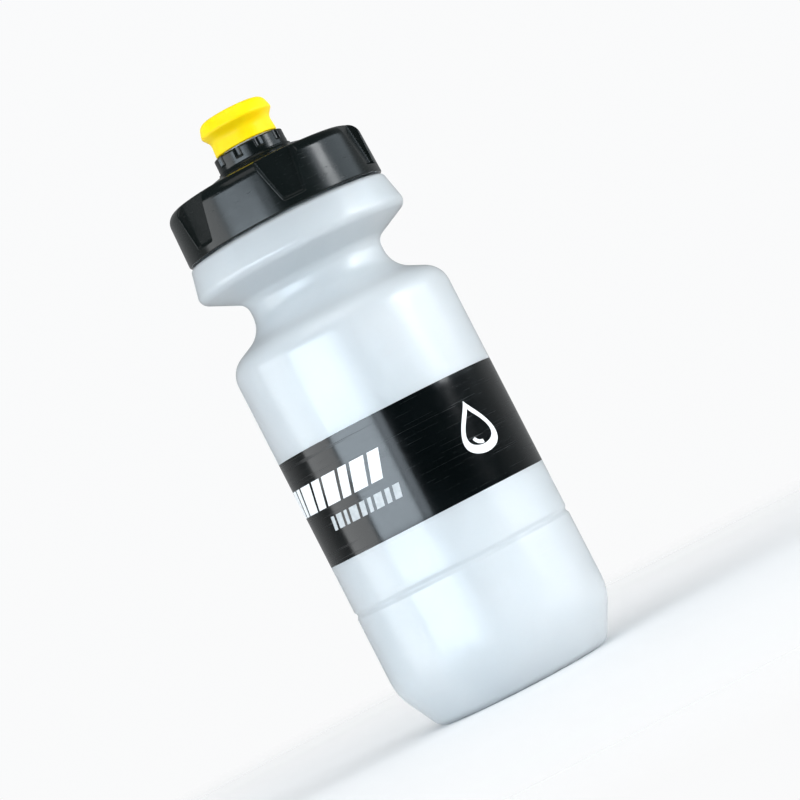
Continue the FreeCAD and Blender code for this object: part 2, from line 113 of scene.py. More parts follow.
# The screw thread: the cap's ridge bears up under the neck's.
LEAD = 6.0
RIDGE_HEIGHT = 1.6
RIDGE_ROOT = 2.6
RIDGE_CREST = 1.4
RIDGE_TAPER = 0.03
RIDGE_GAP = 0.3
NECK_RIDGE_Z = NECK_TOP_Z - 9.9
NECK_RIDGE_TURNS = 1.25
CAP_RIDGE_Z = NECK_RIDGE_Z - (RIDGE_ROOT + RIDGE_CREST) / 2 - RIDGE_GAP
CAP_RIDGE_TURNS = 1.0

# Finger scoops: notches with a flat floor that leans inward and widens upward, and sloping sides.
SCOOP_COUNT = 6
SCOOP_TURN = math.radians(-79.5)
SCOOP_FLOOR_R = 30.5
SCOOP_FLOOR_Z = 174.8
SCOOP_FLOOR_SLOPE = math.tan(math.radians(9.5))
SCOOP_LOW_Z = 165.0
SCOOP_LOW_HALF = 3.25
SCOOP_WIDENING = 0.189
SCOOP_SIDE_SLOPE = math.tan(math.radians(35.0))
SCOOP_FOOT_SLOPE = math.tan(math.radians(25.5))
SCOOP_INNER_R = 26.0
SCOOP_BLEND = 0.4

# Flutes: round grooves down the collar.
FLUTE_COUNT = 10
FLUTE_R = 1.5
FLUTE_REACH = 12.45
FLUTE_LOW_Z = 185.1
FLUTE_BLEND = 0.18

BACKDROP = (0.955, 0.96, 0.965)


# ------------------------------------------------------------------------------------- mesh helpers

def rounded_path(corners, closed=False, turn_step=math.radians(9)):
    """The points of a path whose corners are (r, z) or (r, z, rounding), in millimetres."""
    points = []
    count = len(corners)
    for i, corner in enumerate(corners):
        here = Vector(corner[:2])
        if len(corner) < 3 or (not closed and i in (0, count - 1)):
            points.append(here)
            continue
        before, after = Vector(corners[i - 1][:2]), Vector(corners[(i + 1) % count][:2])
        inward, outward = (here - before).normalized(), (after - here).normalized()
        turn = math.atan2(inward.x * outward.y - inward.y * outward.x, inward.dot(outward))
        side = math.copysign(corner[2], turn)
        start = here - inward * corner[2] * math.tan(abs(turn) / 2)
        centre = start + Vector((-inward.y, inward.x)) * side
        steps = max(2, math.ceil(abs(turn) / turn_step))
        for step in range(steps + 1):
            points.append(centre + Matrix.Rotation(turn * step / steps, 2) @ (start - centre))
    return points


def divided(points, longest, closed=False):
    """The same path, with no run longer than longest(middle)."""
    ends = points + points[:1] if closed else points
    path = []
    for start, end in zip(ends, ends[1:]):
        steps = max(1, math.ceil((end - start).length / longest((start + end) / 2)))
        path += [start.lerp(end, step / steps) for step in range(steps)]
    return path if closed else path + [ends[-1]]


def inner_wall(chain, wall):
    """The corners of the wall's inner line, on the left of an open chain of corners."""
    inner = []
    for i, corner in enumerate(chain):
        here = Vector(corner[:2])
        before, after = Vector(chain[max(i - 1, 0)][:2]), Vector(chain[min(i + 1, len(chain) - 1)][:2])
        inward = (here - before).normalized() if i else (after - here).normalized()
        outward = (after - here).normalized() if i < len(chain) - 1 else inward
        normal = Vector((-inward.y - outward.y, inward.x + outward.x))
        moved = here + normal * (2 * wall / normal.length_squared)
        if len(corner) < 3:
            inner.append(tuple(moved))
        else:
            turned_left = inward.x * outward.y - inward.y * outward.x > 0
            inner.append((*moved, max(corner[2] + (-wall if turned_left else wall), 0.2)))
    return inner


def make_object(name, vertices, faces, material, body, nodes=(), smooth=True):
    """A mesh piece in millimetres that rides on a CAD body and stands for the CAD nodes named."""
    mesh = bpy.data.meshes.new(name)
    mesh.from_pydata((np.asarray(vertices) * MM).tolist(), [], faces)
    mesh.materials.append(material)
    mesh.polygons.foreach_set("use_smooth", [smooth] * len(mesh.polygons))
    mesh.validate()
    mesh.update()
    piece = bpy.data.objects.new(name, mesh)
    bpy.context.scene.collection.objects.link(piece)
    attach(piece, body)
    if nodes:
        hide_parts(*nodes)
    return piece


def lathe(path, columns, closed, shaped=None):
    """Vertices and faces of a path turned about Z. shaped(theta, r, z) gives each point's radius.

    An open path starts and ends on the axis, and its two ends become single points."""
    if not closed:
        poles, path = (path[0], path[-1]), path[1:-1]
    theta = np.arange(columns) * (2 * math.pi / columns)
    r, z = np.array([point.x for point in path]), np.array([point.y for point in path])
    theta_grid, r_grid = np.meshgrid(theta, r)
    z_grid = np.meshgrid(theta, z)[1]
    if shaped:
        r_grid = shaped(theta_grid, r_grid, z_grid)
    x_grid, y_grid = r_grid * np.cos(theta_grid), r_grid * np.sin(theta_grid)
    vertices = np.stack([x_grid, y_grid, z_grid], axis=-1).reshape(-1, 3)
    rows = len(path)
    faces = []
    for row in range(rows if closed else rows - 1):
        low, high = row * columns, (row + 1) % rows * columns
        for column in range(columns):
            after = (column + 1) % columns
            faces.append((low + column, low + after, high + after, high + column))
    if not closed:
        first, last = len(vertices), len(vertices) + 1
        vertices = np.vstack([vertices, [[0, 0, poles[0].y]], [[0, 0, poles[1].y]]])
        top = (rows - 1) * columns
        for column in range(columns):
            after = (column + 1) % columns
            faces.append((after, column, first))
            faces.append((top + column, top + after, last))
    return vertices, faces


def on_wall(r, radius):
    """True for the points on the wall with this radius."""
    return np.abs(r - radius) < 0.01


def soft_min(a, b, blend):
    """The smaller of two arrays, with a rounded corner of about the blend's size where they cross."""
    share = np.clip(0.5 + 0.5 * (b - a) / blend, 0, 1)
    return b + (a - b) * share - blend * share * (1 - share)


def flute_cut(theta):
    """How far from the axis the ring of round flutes lets the collar stand, by angle."""
    period = 2 * math.pi / FLUTE_COUNT
    phi = (theta + period / 2) % period - period / 2
    inside = FLUTE_R ** 2 - (FLUTE_REACH * np.sin(phi)) ** 2
    near = FLUTE_REACH * np.cos(phi) - np.sqrt(np.maximum(inside, 0))
    # Beside the flute the limit rises steeply from the tangent, so a soft minimum fades out without a step.
    return np.where(inside > 0, near, FLUTE_REACH * np.cos(phi) - inside * 4)


def notch_cut(theta, z):
    """How far from the axis the ring of finger scoops lets the cap's skirt stand, by angle and height."""
    period = 2 * math.pi / SCOOP_COUNT
    phi = (theta - SCOOP_TURN + period / 2) % period - period / 2
    across, along = np.abs(np.sin(phi)), np.cos(phi)
    floor = SCOOP_FLOOR_R - (z - SCOOP_FLOOR_Z) * SCOOP_FLOOR_SLOPE
    half = SCOOP_LOW_HALF + SCOOP_WIDENING * (z - SCOOP_LOW_Z)
    side = (SCOOP_SIDE_SLOPE * floor - half) / (SCOOP_SIDE_SLOPE * along - across)
    low_floor = SCOOP_FLOOR_R - (SCOOP_LOW_Z - SCOOP_FLOOR_Z) * SCOOP_FLOOR_SLOPE
    foot = (low_floor + (SCOOP_LOW_Z - z) / SCOOP_FOOT_SLOPE) / along
    return np.maximum(np.maximum(floor / along, side), foot)


def ridge(theta, z, first_z, turns):
    """A screw ridge's height, from 0 to 1, with ends that taper off."""
    fraction = theta / (2 * math.pi)
    height = np.zeros_like(z)
    for turn in range(math.ceil(turns) + 1):
        along = fraction + turn
        centre = first_z + along * LEAD
        flank = (RIDGE_ROOT / 2 - np.abs(z - centre)) / ((RIDGE_ROOT - RIDGE_CREST) / 2)
        taper = np.clip(np.minimum(along, turns - along) / RIDGE_TAPER, 0, 1)
        height = np.maximum(height, np.clip(flank, 0, 1) * taper)
    return height


# ---------------------------------------------------------------------------------------- materials

def fill_ramp(ramp, stops):
    """Sets a colour ramp to stops of (position, grey or colour)."""
    while len(ramp.elements) < len(stops):
        ramp.elements.new(0.5)
    for element, (position, colour) in zip(ramp.elements, stops):
        element.position = position
        element.color = (*([colour] * 3 if isinstance(colour, (int, float)) else colour), 1)


def mix_colours(tree, blend, factor, a, b):
    """A colour mix. The factor is a number or an output, and a and b are colours or outputs."""
    node = tree.nodes.new("ShaderNodeMix")
    node.data_type = "RGBA"
    node.blend_type = blend
    for socket, value in ((node.inputs[0], factor), (node.inputs[6], a), (node.inputs[7], b)):
        if isinstance(value, (int, float)):
            socket.default_value = value
        elif isinstance(value, tuple):
            socket.default_value = (*value, 1)
        else:
            tree.links.new(value, socket)
    return node.outputs[2]


class Material:
    """A Principled material and short ways to add nodes to it."""

    def __init__(self, name, **inputs):
        self.material = bpy.data.materials.new(name)
        self.material.use_nodes = True
        self.tree = self.material.node_tree
        self.shader = self.tree.nodes["Principled BSDF"]
        for key, value in inputs.items():
            self.shader.inputs[key.replace("_", " ")].default_value = value
        coordinates = self.tree.nodes.new("ShaderNodeTexCoord")
        self.place = coordinates.outputs["Object"]

    def link(self, start, end):
        self.tree.links.new(start, end)

    def stretched(self, x, y, z):
        mapping = self.tree.nodes.new("ShaderNodeMapping")
        mapping.inputs["Scale"].default_value = (x, y, z)
        self.link(self.place, mapping.inputs["Vector"])
        return mapping.outputs["Vector"]

    def noise(self, scale, detail=3.0, roughness=0.5, vector=None, distortion=0.0):
        node = self.tree.nodes.new("ShaderNodeTexNoise")
        node.inputs["Scale"].default_value = scale
        node.inputs["Detail"].default_value = detail
        node.inputs["Roughness"].default_value = roughness
        node.inputs["Distortion"].default_value = distortion
        self.link(vector or self.place, node.inputs["Vector"])
        return node.outputs["Fac"]

    def ramp(self, value, *stops):
        """Maps a value through stops of (position, grey or colour)."""
        node = self.tree.nodes.new("ShaderNodeValToRGB")
        fill_ramp(node.color_ramp, stops)
        self.link(value, node.inputs["Fac"])
        return node.outputs["Color"]

    def math(self, operation, a, b=0.0):
        node = self.tree.nodes.new("ShaderNodeMath")
        node.operation = operation
        for socket, value in zip(node.inputs, (a, b)):
            if isinstance(value, (int, float)):
                socket.default_value = value
            else:
                self.link(value, socket)
        return node.outputs["Value"]

    def mix(self, factor, a, b):
        return mix_colours(self.tree, "MIX", factor, a, b)

    def axis(self, name):
        node = self.tree.nodes.new("ShaderNodeSeparateXYZ")
        self.link(self.place, node.inputs["Vector"])
        return node.outputs[name]

    def bump(self, height, distance, strength=1.0, below=None):
        node = self.tree.nodes.new("ShaderNodeBump")
        node.inputs["Strength"].default_value = strength
        node.inputs["Distance"].default_value = distance
        self.link(height, node.inputs["Height"])
        if below:
            self.link(below, node.inputs["Normal"])
        return node.outputs["Normal"]

    def set(self, socket, value):
        self.link(value, self.shader.inputs[socket])


def frosted_plastic():
    """Blow-moulded polyethylene: milky and see-through, with an orange-peel skin, a seam and cage rubs."""
    m = Material("frosted_plastic", IOR=1.5, Transmission_Weight=0.6, Subsurface_Weight=0.35,
                 Subsurface_Scale=0.004, Specular_IOR_Level=0.4, Coat_Weight=0.45, Coat_Roughness=0.13)
    m.shader.inputs["Subsurface Radius"].default_value = (1.0, 1.0, 1.0)
    cloud = m.noise(28, 3)
    colour = m.ramp(cloud, (0.3, (0.84, 0.895, 0.93)), (0.7, (0.90, 0.935, 0.96)))
    rub = m.noise(1.0, 5, 0.7, m.stretched(22, 22, 1400))
    worn = m.noise(60, 2)
    scuff = m.math("MULTIPLY", m.ramp(rub, (0.56, 0.0), (0.62, 1.0)), m.ramp(worn, (0.5, 0.0), (0.65, 1.0)))
    m.set("Base Color", m.mix(m.math("MULTIPLY", scuff, 0.3), colour, (0.93, 0.95, 0.965)))
    fine = m.noise(900, 2)
    rough = m.math("ADD", m.math("MULTIPLY", fine, 0.10), 0.28)
    m.set("Roughness", m.math("ADD", rough, m.math("MULTIPLY", scuff, 0.08)))
    seam = m.ramp(m.math("ABSOLUTE", m.axis("Y")), (0.0, 1.0), (0.00035, 0.0))
    peel = m.bump(m.noise(330, 2), 0.00006, 0.5)
    seamed = m.bump(seam, 0.00012, 0.6, peel)
    m.set("Normal", m.bump(scuff, 0.00002, 0.4, seamed))
    m.set("Coat Normal", peel)
    return m.material


def black_plastic():
    """Glossy moulded polypropylene, with a faint flow texture, fine scratches and dulling by fingers."""
    m = Material("black_plastic", IOR=1.47, Specular_IOR_Level=0.48)
    cloud = m.noise(45, 4)
    m.set("Base Color", m.ramp(cloud, (0.3, (0.0030, 0.0048, 0.0046)), (0.75, (0.0065, 0.0090, 0.0090))))
    scratches = m.noise(1.0, 6, 0.75, m.stretched(260, 260, 2600), 0.4)
    scratch = m.ramp(scratches, (0.60, 0.0), (0.66, 1.0))
    dull = m.math("MULTIPLY", m.noise(120, 3), 0.16)
    rough = m.math("ADD", m.math("ADD", dull, 0.12), m.math("MULTIPLY", scratch, 0.14))
    m.set("Roughness", rough)
    peel = m.bump(m.noise(240, 2), 0.00004, 0.35)
    m.set("Normal", m.bump(scratch, 0.00001, 0.4, peel))
    return m.material


def printed_film():
    """Glossy black print, with a slightly uneven ink surface and rub marks round the bottle."""
    m = Material("printed_film", IOR=1.5, Specular_IOR_Level=0.58)
    cloud = m.noise(70, 4)
    m.set("Base Color", m.ramp(cloud, (0.35, (0.0010, 0.0020, 0.0022)), (0.75, (0.0024, 0.0038, 0.0042))))
    rub = m.ramp(m.noise(1.0, 5, 0.7, m.stretched(26, 26, 1500)), (0.57, 0.0), (0.64, 1.0))
    rough = m.math("ADD", m.math("MULTIPLY", m.noise(400, 2), 0.08), 0.11)
    m.set("Roughness", m.math("ADD", rough, m.math("MULTIPLY", rub, 0.16)))
    m.set("Normal", m.bump(m.noise(420, 2), 0.00002, 0.4))
    return m.material


def ink(name, pale, dark):
    """Screen-printed ink, a little uneven where it lies thin."""
    m = Material(name, IOR=1.5, Specular_IOR_Level=0.5)
    m.set("Base Color", m.ramp(m.noise(700, 3), (0.35, dark), (0.6, pale)))
    m.set("Roughness", m.math("ADD", m.math("MULTIPLY", m.noise(900, 2), 0.2), 0.25))
    m.set("Normal", m.bump(m.noise(1500, 2), 0.00001, 0.4))
    return m.material


def yellow_rubber():
    """Soft yellow elastomer: a little see-through, with a fine moulded grain and a trace of grime."""
    m = Material("yellow_rubber", IOR=1.48, Specular_IOR_Level=0.2,
                 Subsurface_Weight=0.3, Subsurface_Scale=0.0015)
    m.shader.inputs["Subsurface Radius"].default_value = (1.0, 0.7, 0.15)
    cloud = m.noise(220, 3)
    colour = m.ramp(cloud, (0.3, (0.98, 0.65, 0.003)), (0.7, (1.0, 0.72, 0.004)))
    grime = m.ramp(m.noise(600, 5, 0.7), (0.60, 0.0), (0.72, 1.0))
    m.set("Base Color", m.mix(m.math("MULTIPLY", grime, 0.35), colour, (0.62, 0.46, 0.05)))
    m.set("Roughness", m.math("ADD", m.math("MULTIPLY", m.noise(1300, 2), 0.22), 0.30))
    m.set("Normal", m.bump(m.noise(2600, 2), 0.00002, 0.5))
    return m.material


def plain_moulding(name, pale, dark, rough, grain, **inputs):
    """A small moulded piece: an even colour with a faint cloud, and a fine grain."""
    m = Material(name, **inputs)
    m.set("Base Color", m.ramp(m.noise(180, 3), (0.3, dark), (0.7, pale)))
    m.set("Roughness", m.math("ADD", m.math("MULTIPLY", m.noise(700, 2), 0.15), rough))
    m.set("Normal", m.bump(m.noise(grain, 2), 0.00002, 0.4))
    return m.material


# ------------------------------------------------------------------------------------------- pieces

def make_bottle(material):
    """The body, its outside and inside in one closed skin, with the thread on its neck."""
    outside = [
        (0, DISH_Z),
        (DISH_R, DISH_Z, 12.0),
        (FOOT_INNER_R, FOOT_Z, 2.0),
        (FOOT_OUTER_R, FOOT_Z, 4.0),
        (BODY_R, TAPER_Z, 18.0),
        (BODY_R, CREASE_Z - CREASE_HALF, 0.8),
        (BODY_R - CREASE_DEPTH, CREASE_Z, 0.9),
        (BODY_R, CREASE_Z + CREASE_HALF, 0.8),
        (BODY_R, BAND_LOW_Z, 0.03),
        (BODY_R - FILM, BAND_LOW_Z, 0.03),
        (BODY_R - FILM, BAND_HIGH_Z, 0.03),
        (BODY_R, BAND_HIGH_Z, 0.03),
        (BODY_R, SHOULDER_Z, 8.0),
        (WAIST_R, WAIST_LOW_Z, 9.0),
        (WAIST_R, WAIST_HIGH_Z, 4.0),
        (BULGE_R, BULGE_Z, 3.0),
        (LEDGE_R, LEDGE_Z, 1.6),
        (NECK_R, LEDGE_Z, 1.4),
        (NECK_R, NECK_TOP_Z, 0.35),
    ]
    # The wrap's shallow recess doesn't show on the inside.
    plain = [corner for corner in outside if not (BAND_LOW_Z - 1 < corner[1] < BAND_HIGH_Z + 1)]
    inside = inner_wall(plain, WALL)
    inside[-1] = (NECK_R - WALL, NECK_TOP_Z, 0.35)
    inside[0] = (0, inside[0][1])
    path = rounded_path(outside + inside[::-1])

    def longest(middle):
        on_thread = abs(middle.x - NECK_R) < 0.1 and middle.y > LEDGE_Z + 1.5
        return 0.3 if on_thread else 3.0

    def shaped(theta, r, z):
        on_neck = on_wall(r, NECK_R) & (z > LEDGE_Z + 1)
        return r + np.where(on_neck, ridge(theta, z, NECK_RIDGE_Z, NECK_RIDGE_TURNS) * RIDGE_HEIGHT, 0)

    vertices, faces = lathe(divided(path, longest), BODY_COLUMNS, False, shaped)
    make_object("bottle_body_shell", vertices, faces, material, "bottle", ["bottle_body"])


def make_band(material):
    """The wrap, a film in the body's recess."""
    low, high = BAND_LOW_Z + 0.02, BAND_HIGH_Z - 0.02
    inner_r = BAND_R - FILM + 0.005
    corners = [
        (inner_r, low),
        (BAND_R, low, 0.03),
        (BAND_R, high, 0.03),
        (inner_r, high),
    ]
    path = divided(rounded_path(corners, True), lambda middle: 3.0, True)
    vertices, faces = lathe(path, BODY_COLUMNS, True)
    make_object("print_band_film", vertices, faces, material, "bottle", ["print_band"])


def make_cap(material):
    """The cap: skirt, scoops, roof, boss and turret outside, and bore, thread and seal ring inside."""
    corners = [
        (SKIRT_BORE, SKIRT_LOW_Z, 0.3),
        (SKIRT_LOW_R, SKIRT_LOW_Z, 0.6),
        (ROOF_EDGE_R, ROOF_EDGE_Z, 4.0),
        (ROOF_RISE_R, ROOF_RISE_Z, 16.0),
        (FLARE_R, FLARE_Z, 0.8),
        (FLARE_R, SEAT_Z, 0.25),
        (BOSS_R, SEAT_Z),
        (BOSS_R, BOSS_Z, 0.2),
        (WELL_R, BOSS_Z, 0.2),
        (WELL_R, WELL_Z),
        (TURRET_R, WELL_Z),
        (TURRET_R, BEAD_LOW_Z),
        (BEAD_R, BEAD_FULL_Z, 0.1),
        (BEAD_R, TURRET_TOP_Z, 0.2),
        (TURRET_BORE, TURRET_TOP_Z, 0.15),
        (TURRET_BORE, FLARE_CEILING_Z, 0.2),
        (FLARE_R, FLARE_CEILING_Z, 1.0),
        (ROOF_RISE_R, ROOF_CEILING_Z, 4.0),
        (SEAL_RING_IN, ROOF_CEILING_Z, 0.4),
        (SEAL_RING_IN, SEAL_RING_LOW_Z, 0.3),
        (SEAL_RING_OUT, SEAL_RING_LOW_Z, 0.3),
        (SEAL_RING_OUT, GASKET_SEAT_Z),
        (SKIRT_BORE, GASKET_SEAT_Z),
    ]
    path = rounded_path(corners, True)

    def longest(middle):
        return 0.3 if middle.x > SCOOP_INNER_R else 2.0

    def shaped(theta, r, z):
        outer = (r > SKIRT_BORE + 0.1) | (z > GASKET_SEAT_Z + 0.3)
        scooped = np.where(outer & (r > SCOOP_INNER_R), soft_min(r, notch_cut(theta, z), SCOOP_BLEND), r)
        in_bore = on_wall(r, SKIRT_BORE) & (z < GASKET_SEAT_Z - 0.05) & (z > SKIRT_LOW_Z + 0.2)
        thread = ridge(theta, z, CAP_RIDGE_Z, CAP_RIDGE_TURNS) * RIDGE_HEIGHT
        return np.where(in_bore, r - thread, scooped)

    vertices, faces = lathe(divided(path, longest, True), CAP_COLUMNS, True, shaped)
    make_object("cap_moulding", vertices, faces, material, "cap", ["cap_shell"])


def make_collar(material):
    """The fluted ring at the nozzle's foot."""
    low = SEAT_Z + 0.01
    corners = [
        (BOSS_R, low),
        (COLLAR_R, low, 0.2),
        (COLLAR_R, COLLAR_TOP_Z, 0.6),
        (BOSS_R, COLLAR_TOP_Z, 0.4),
    ]

    def shaped(theta, r, z):
        fluted = soft_min(r, flute_cut(theta), FLUTE_BLEND)
        depth = np.clip((z - FLUTE_LOW_Z + 0.15) / 0.3, 0, 1)
        return np.where(r > BOSS_R + 0.3, r + (fluted - r) * depth, r)

    def longest(middle):
        return 0.2 if middle.x > BOSS_R + 0.5 else 1.0

    path = divided(rounded_path(corners, True), longest, True)
    vertices, faces = lathe(path, COLLAR_COLUMNS, True, shaped)
    make_object("nozzle_collar_ring", vertices, faces, material, "cap",
                ["nozzle_collar"])


def make_mouthpiece(material):
    """The soft mouthpiece, with its lip and drinking hole."""
    corners = [
        (STEM_R, MOUTH_LOW_Z, 0.15),
        (MOUTH_LOW_R, MOUTH_LOW_Z, 0.5),
        (MOUTH_WAIST_R, MOUTH_WAIST_Z, 3.0),
        (LIP_R, LIP_Z, 1.2),
        (MOUTH_TOP_R, MOUTH_TOP_Z, 2.9),
        (HOLE_TOP_R, MOUTH_TOP_Z, 1.0),
        (HOLE_LOW_R, STEM_TOP_Z, 0.1),
        (STEM_R, STEM_TOP_Z),
        (STEM_R, KEY_HIGH_Z),
        (KEY_R, KEY_HIGH_Z),
        (KEY_R, KEY_LOW_Z),
        (STEM_R, KEY_LOW_Z),
    ]
    path = divided(rounded_path(corners, True, math.radians(6)), lambda middle: 0.8, True)
    vertices, faces = lathe(path, MOUTH_COLUMNS, True)
    make_object("mouthpiece_soft", vertices, faces, material, "nozzle", ["mouthpiece"])


# -------------------------------------------------------------------------------------------- print

def wrapped(loops):
    """A closed sheet of ink on the band, from rows of (along, z). along is the arc length from the front."""
    rows, columns = len(loops), len(loops[0])
    vertices = []
    for level in (BAND_R + INK, BAND_R - 0.02):
        for row in loops:
            for along, z in row:
                angle = along / BAND_R - math.pi / 2
                vertices.append((level * math.cos(angle), level * math.sin(angle), z))
    faces = []
    size = rows * columns
    for row in range(rows - 1):
        for column in range(columns - 1):
            a = row * columns + column
            b, c, d = a + 1, a + columns + 1, a + columns
            faces.append((a, b, c, d))
            faces.append((size + d, size + c, size + b, size + a))
    rim = [(0, c) for c in range(columns)] + [(r, columns - 1) for r in range(1, rows)]
    rim += [(rows - 1, c) for c in range(columns - 2, -1, -1)] + [(r, 0) for r in range(rows - 2, 0, -1)]
    for (row_a, col_a), (row_b, col_b) in zip(rim, rim[1:] + rim[:1]):
        a, b = row_a * columns + col_a, row_b * columns + col_b
        faces.append((b, a, size + a, size + b))
    return vertices, faces


def bar(start, end, low, high, slant):
    """A slanted bar as three rows for wrapped()."""
    longest = 0.6
    columns = max(2, math.ceil((end - start) / longest) + 1)
    rows = []
    for row in range(3):
        share = row / 2
        z = low + (high - low) * share
        shift = slant * (share - 0.5)
        rows.append([(start + (end - start) * c / (columns - 1) + shift, z) for c in range(columns)])
    return rows


def merge(sheets):
    """One vertex and face list from several."""
    vertices, faces = [], []
    for sheet_vertices, sheet_faces in sheets:
        offset = len(vertices)
        vertices += sheet_vertices
        faces += [tuple(index + offset for index in face) for face in sheet_faces]
    return vertices, faces


def bars(first, widths, gap, low, high, slant, turn):
    """A row of bars, each as wide as widths says, from first to the right."""
    sheets, start = [], first
    for width in widths:
        sheets.append(wrapped(bar(start + turn, start + width + turn, low, high, slant)))
        start += width + gap
    return sheets


def drop_outline(centre, middle_z, width, height, line, turn):
    """A drop of water drawn with one thick line, as a strip for wrapped()."""
    steps = 72

    def point(step, inset):
        angle = 2 * math.pi * step / steps
        half_width, half_height = width / 2 - inset, height / 2 - inset * 1.25
        narrow = math.sin(angle / 2) ** 1.5
        x = half_width * math.sin(angle) * narrow * 1.3
        return centre + turn + x, middle_z + half_height * math.cos(angle)

    return [[point(step, line * ring / 3) for step in range(steps + 1)] for ring in range(4)]


def arc_mark(centre, middle_z, radius, line, first, last, turn):
    """A short curved stroke inside the drop, as a strip for wrapped()."""
    steps = 16
    rows = []
    for ring in (radius - line / 2, radius, radius + line / 2):
        angles = [first + (last - first) * step / steps for step in range(steps + 1)]
        rows.append([(centre + turn + ring * math.cos(a), middle_z + ring * math.sin(a)) for a in angles])
    return rows


def make_print(white, grey):
    """Generic marks in place of the print: slanted bars, small dashes and a drop, in front and behind."""
    bold_widths = (5.4, 3.2, 6.6, 4.2, 6.0, 3.4, 5.2, 4.0)
    dash_widths = (1.7, 2.6, 1.4, 3.2, 2.0, 1.4, 2.8, 1.7, 2.3)
    drop_along = 24.5
    half_round = math.pi * BAND_R
    strong, fine = [], []
    for turn in (0.0, half_round):
        strong += bars(first=-55.0, widths=bold_widths, gap=1.3, low=76.2, high=85.2, slant=3.0, turn=turn)
        drop = drop_outline(drop_along, middle_z=77.5, width=15.0, height=17.0, line=2.1, turn=turn)
        glint = arc_mark(drop_along, middle_z=75.4, radius=2.9, line=1.2,
                         first=math.radians(200), last=math.radians(275), turn=turn)
        strong += [wrapped(drop), wrapped(glint)]
        fine += bars(first=-34.0, widths=dash_widths, gap=1.1, low=68.6, high=73.0, slant=0.9, turn=turn)
    for name, sheets, material in (("print_marks_white", strong, white), ("print_marks_grey", fine, grey)):
        vertices, faces = merge(sheets)
        make_object(name, vertices, faces, material, "bottle", smooth=False)


# ------------------------------------------------------------------------------------ camera, stage

def make_camera():
    """The photograph's view: almost level, from just below the bottle's middle, rolled so that it leans."""
    look_at = Vector((0.006, 0, 0.0958))
    distance, elevation, lean = 1.084, math.radians(-1.7), math.radians(27.2)
    full_view, enlargement = math.radians(30.8), 2.4
    sensor = 36
    back = Vector((0, -math.cos(elevation), math.sin(elevation)))
    right = Vector((1, 0, 0))
    up = back.cross(right)
    axes = Matrix((
        right * math.cos(lean) - up * math.sin(lean),
        up * math.cos(lean) + right * math.sin(lean),
        back,
    )).transposed()
    camera = bpy.data.objects.new("camera", bpy.data.cameras.new("camera"))
    camera.data.sensor_width = sensor
    camera.data.lens = sensor / 2 / math.tan(full_view / 2) * enlargement
    camera.data.clip_start, camera.data.clip_end = 0.05, 60
    camera.matrix_world = Matrix.Translation(look_at + back * distance) @ axes.to_4x4()
    bpy.context.scene.collection.objects.link(camera)
    bpy.context.scene.camera = camera


def area_light(name, azimuth, elevation, distance, width, height, radiance, colour, mirrored):
    """A soft light that faces the bottle's middle. Azimuth 0 is the front, and 90 is the bottle's right (+X).

    One that isn't mirrored lights the bottle without showing in its gloss."""
    a, e = math.radians(azimuth), math.radians(elevation)
    target = Vector((0, 0, 0.1))
    back = Vector((math.sin(a) * math.cos(e), -math.cos(a) * math.cos(e), math.sin(e)))
    light = bpy.data.lights.new(name, "AREA")
    light.shape = "RECTANGLE"
    light.size, light.size_y = width, height
    light.energy = radiance * math.pi * width * height
    light.color = colour
    lamp = bpy.data.objects.new(name, light)
    lamp.location = target + back * distance
    lamp.rotation_euler = back.to_track_quat("Z", "Y").to_euler()
    lamp.visible_camera = False
    lamp.visible_glossy = mirrored
    bpy.context.scene.collection.objects.link(lamp)


def make_surround():
    """Light from all round, weak in front and above, strong behind, and dim in the gloss.

    The camera sees an even pale backdrop."""
    world = bpy.data.worlds.new("surround")
    bpy.context.scene.world = world
    world.use_nodes = True
    tree = world.node_tree
    coordinates = tree.nodes.new("ShaderNodeTexCoord")
    separate = tree.nodes.new("ShaderNodeSeparateXYZ")
    tree.links.new(coordinates.outputs["Generated"], separate.inputs["Vector"])

    def brightness(axis, *stops):
        spread = tree.nodes.new("ShaderNodeMapRange")
        spread.inputs["From Min"].default_value = -1
        ramp = tree.nodes.new("ShaderNodeValToRGB")
        ramp.color_ramp.interpolation = "EASE"
        fill_ramp(ramp.color_ramp, stops)
        tree.links.new(separate.outputs[axis], spread.inputs["Value"])
        tree.links.new(spread.outputs["Result"], ramp.inputs["Fac"])
        return ramp.outputs["Color"]

    front_to_back = brightness("Y", (0.0, 0.04), (0.38, 0.06), (0.62, 0.85), (0.85, 1.6))
    low_to_high = brightness("Z", (0.0, 0.75), (0.5, 1.0), (0.62, 0.85), (0.85, 0.18))
    light = mix_colours(tree, "MULTIPLY", 1.0, front_to_back, low_to_high)
    light = mix_colours(tree, "MULTIPLY", 1.0, light, (0.96, 0.985, 1.0))
    path = tree.nodes.new("ShaderNodeLightPath")
    # Light that comes through the frosted wall counts as glossy too, so only a glossy reflection is dimmed.
    in_gloss = tree.nodes.new("ShaderNodeMath")
    in_gloss.operation = "MULTIPLY"
    tree.links.new(path.outputs["Is Glossy Ray"], in_gloss.inputs[0])
    tree.links.new(path.outputs["Is Reflection Ray"], in_gloss.inputs[1])
    dimmed = mix_colours(tree, "MULTIPLY", 1.0, light, (0.2, 0.2, 0.2))
    light = mix_colours(tree, "MIX", in_gloss.outputs["Value"], light, dimmed)
    seen = mix_colours(tree, "MIX", path.outputs["Is Camera Ray"], light, BACKDROP)
    tree.links.new(seen, tree.nodes["Background"].inputs["Color"])


